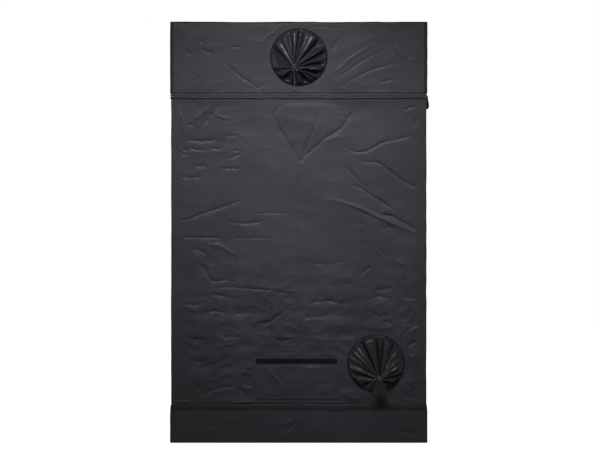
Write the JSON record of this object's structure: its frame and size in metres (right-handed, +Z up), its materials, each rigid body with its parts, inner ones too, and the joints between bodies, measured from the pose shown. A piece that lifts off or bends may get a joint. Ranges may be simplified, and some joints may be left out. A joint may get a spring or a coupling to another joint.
{
  "type": "indoor grow tent",
  "caption": "Tall square cloth grow tent on a steel pole frame, with gathered duct ports, low vents, a zipped door and a zip-off top section.",
  "frame": {"origin": "middle of the underside of the floor pan", "axes": "+Z up; -Y towards the wall with the duct ports and the low vent, +Y towards the door; +X to the right when facing the ported wall from outside"},
  "size_m": [1.2317, 1.284, 2],
  "materials": {
    "pole_paint": "satin",
    "corner_steel": "satin",
    "wall_cloth": "satin",
    "floor_cloth": "satin",
    "tray_cloth": "satin",
    "sleeve_cloth": "semi-gloss",
    "vent_mesh": "matt",
    "hook_and_loop": "matt",
    "zip_tape": "matt",
    "zip_metal": "satin",
    "pull_rubber": "matt",
    "window_sheet": "gloss",
    "cord": "matt"
  },
  "bodies": {
    "tent": {"base_pole_front": "pole_paint", "base_pole_rear": "pole_paint", "base_pole_left": "pole_paint", "base_pole_right": "pole_paint", "top_pole_front": "pole_paint", "top_pole_rear": "pole_paint", "top_pole_left": "pole_paint", "top_pole_right": "pole_paint", "lower_upright_front_left": "pole_paint", "lower_upright_front_right": "pole_paint", "lower_upright_rear_left": "pole_paint", "lower_upright_rear_right": "pole_paint", "upper_upright_front_left": "pole_paint", "upper_upright_front_right": "pole_paint", "upper_upright_rear_left": "pole_paint", "upper_upright_rear_right": "pole_paint", "base_corner_front_left": "corner_steel", "base_corner_front_right": "corner_steel", "base_corner_rear_left": "corner_steel", "base_corner_rear_right": "corner_steel", "top_corner_front_left": "corner_steel", "top_corner_front_right": "corner_steel", "top_corner_rear_left": "corner_steel", "top_corner_rear_right": "corner_steel", "floor_pan": "floor_cloth", "rear_wall": "wall_cloth", "left_wall": "wall_cloth", "right_wall": "wall_cloth", "front_wall": "wall_cloth", "extension_zip_lower": "zip_tape", "door_zip_wall_side": "zip_tape", "rear_vent_mesh": "vent_mesh", "left_vent_mesh": "vent_mesh", "right_vent_mesh": "vent_mesh", "lower_duct_sleeve": "sleeve_cloth", "lower_drawstring": "cord"},
    "spill_tray": {"floor_tray": "tray_cloth"},
    "hanging_bar_front": {"hanging_bar_front": "pole_paint"},
    "hanging_bar_rear": {"hanging_bar_rear": "pole_paint"},
    "cap": {"top_section": "wall_cloth", "extension_zip_upper": "zip_tape", "upper_duct_sleeve": "sleeve_cloth", "upper_drawstring": "cord"},
    "extension_slider": {"extension_slider": "zip_metal"},
    "extension_pull": {"extension_pull": "pull_rubber"},
    "door": {"door_panel": "wall_cloth", "door_zip_door_side": "zip_tape", "window_pane": "window_sheet"},
    "window_flap": {"window_flap": "wall_cloth"},
    "door_slider_upper": {"door_slider_upper": "zip_metal"},
    "door_slider_lower": {"door_slider_lower": "zip_metal"},
    "door_pull_upper": {"door_pull_upper": "pull_rubber"},
    "door_pull_lower": {"door_pull_lower": "pull_rubber"},
    "rear_vent": {"rear_vent_flap": "wall_cloth", "rear_vent_strip": "hook_and_loop"},
    "left_vent": {"left_vent_flap": "wall_cloth", "left_vent_strip": "hook_and_loop"},
    "right_vent": {"right_vent_flap": "wall_cloth", "right_vent_strip": "hook_and_loop"}
  },
  "joints": [
    {"name": "door_swing", "type": "hinge", "parent": "tent", "child": "door", "pos_m": [0.46, 0.6088, 0.9], "axis": [0, 0, -1], "range_deg": [0, 165]},
    {"name": "window_flap_drop", "type": "hinge", "parent": "door", "child": "window_flap", "pos_m": [0, 0.6078, 0.975], "axis": [-1, 0, 0], "range_deg": [0, 170]},
    {"name": "door_slider_upper_travel", "type": "slide", "parent": "door", "child": "door_slider_upper", "axis": [0, 0, 1], "range_m": [0, 0.55]},
    {"name": "door_slider_lower_travel", "type": "slide", "parent": "door", "child": "door_slider_lower", "axis": [0, 0, 1], "range_m": [-0.55, 0]},
    {"name": "door_pull_upper_swing", "type": "hinge", "parent": "door_slider_upper", "child": "door_pull_upper", "pos_m": [-0.46, 0.6124, 0.93], "axis": [1, 0, 0], "range_deg": [0, 150]},
    {"name": "door_pull_lower_swing", "type": "hinge", "parent": "door_slider_lower", "child": "door_pull_lower", "pos_m": [-0.46, 0.6124, 0.87], "axis": [1, 0, 0], "range_deg": [0, 150]},
    {"name": "rear_vent_drop", "type": "hinge", "parent": "tent", "child": "rear_vent", "pos_m": [-0.01, -0.6097, 0.205], "axis": [1, 0, 0], "range_deg": [0, 170]},
    {"name": "left_vent_drop", "type": "hinge", "parent": "tent", "child": "left_vent", "pos_m": [-0.6097, 0, 0.205], "axis": [0, -1, 0], "range_deg": [0, 170]},
    {"name": "right_vent_drop", "type": "hinge", "parent": "tent", "child": "right_vent", "pos_m": [0.6097, 0, 0.205], "axis": [0, 1, 0], "range_deg": [0, 170]},
    {"name": "cap_lift", "type": "slide", "parent": "tent", "child": "cap", "axis": [0, 0, 1], "range_m": [0, 0.4]},
    {"name": "extension_slider_travel", "type": "slide", "parent": "tent", "child": "extension_slider", "axis": [0, 1, 0], "range_m": [0, 1.1]},
    {"name": "extension_pull_swing", "type": "hinge", "parent": "extension_slider", "child": "extension_pull", "pos_m": [0.6168, -0.5555, 1.6505], "axis": [0, -1, 0], "range_deg": [0, 150]},
    {"name": "spill_tray_lift", "type": "slide", "parent": "tent", "child": "spill_tray", "axis": [0, 0, 1], "range_m": [0, 0.12]},
    {"name": "hanging_bar_front_slide", "type": "slide", "parent": "tent", "child": "hanging_bar_front", "axis": [0, 1, 0], "range_m": [-0.15, 0.33]},
    {"name": "hanging_bar_rear_slide", "type": "slide", "parent": "tent", "child": "hanging_bar_rear", "axis": [0, 1, 0], "range_m": [-0.33, 0.15]}
  ]
}
